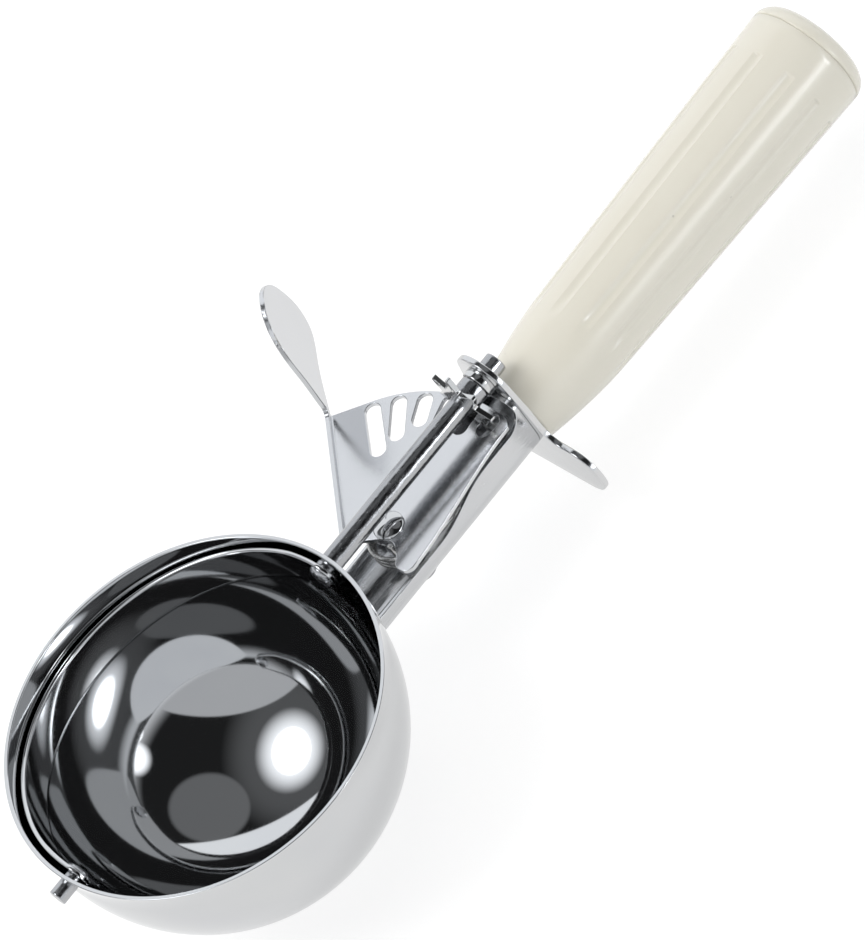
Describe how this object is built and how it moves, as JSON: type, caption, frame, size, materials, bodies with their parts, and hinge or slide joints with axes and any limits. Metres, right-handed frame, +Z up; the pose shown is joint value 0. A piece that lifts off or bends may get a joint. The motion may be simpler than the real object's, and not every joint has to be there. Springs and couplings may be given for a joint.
{
  "type": "lever ice cream scoop",
  "caption": "Long-handled scoop with a half-round bowl, a curved scraper strip inside it, a slotted fan lever that turns the strip through a star wheel, and a finger guard.",
  "frame": {"origin": "centre of the bowl's rim, in the plane of the rim", "axes": "+X along the handle, away from the bowl; +Z up, out of the bowl's mouth; +Y to the side the thumb pad stands on at rest"},
  "size_m": [0.2163, 0.0805, 0.0613],
  "materials": {
    "polished_steel": "mirror polished stainless steel",
    "turned_steel": "drawn and turned stainless steel",
    "silver_solder": "smooth silver solder",
    "spring_steel": "drawn spring wire",
    "plain_steel": "zinc plated steel",
    "ivory_plastic": "moulded, semi-gloss"
  },
  "bodies": {
    "frame": {"bowl": "polished_steel", "shank_channel": "polished_steel", "shank_braze": "silver_solder", "guard_plate": "polished_steel", "guard_bush": "turned_steel", "lever_post": "turned_steel", "lever_rivet": "polished_steel", "lever_washer": "turned_steel", "lever_spring": "spring_steel", "handle_grip": "ivory_plastic", "handle_end_cap": "ivory_plastic", "handle_bolt": "plain_steel", "bolt_washer": "plain_steel", "bolt_nut": "plain_steel"},
    "lever": {"thumb_lever": "polished_steel"},
    "scraper": {"drive_shaft": "turned_steel", "pinion": "polished_steel", "pinion_hub": "turned_steel", "scraper_blade": "polished_steel", "blade_pivot_stud": "turned_steel"}
  },
  "joints": [
    {"name": "lever_turn", "type": "hinge", "parent": "frame", "child": "lever", "pos_m": [0.051, 0, 0], "axis": [0, 0, -1], "range_deg": [0, 36], "stiffness_Nm_per_rad": 0.3, "springref_deg": -22.92, "deforming": ["lever_spring"]},
    {"name": "scraper_turn", "type": "hinge", "parent": "frame", "child": "scraper", "pos_m": [0, 0, -0.0034], "axis": [-1, 0, 0], "range_deg": [0, 165]}
  ],
  "couplings": [
    {"joint": "scraper_turn", "follows": "lever_turn", "ratio": 4.55}
  ]
}
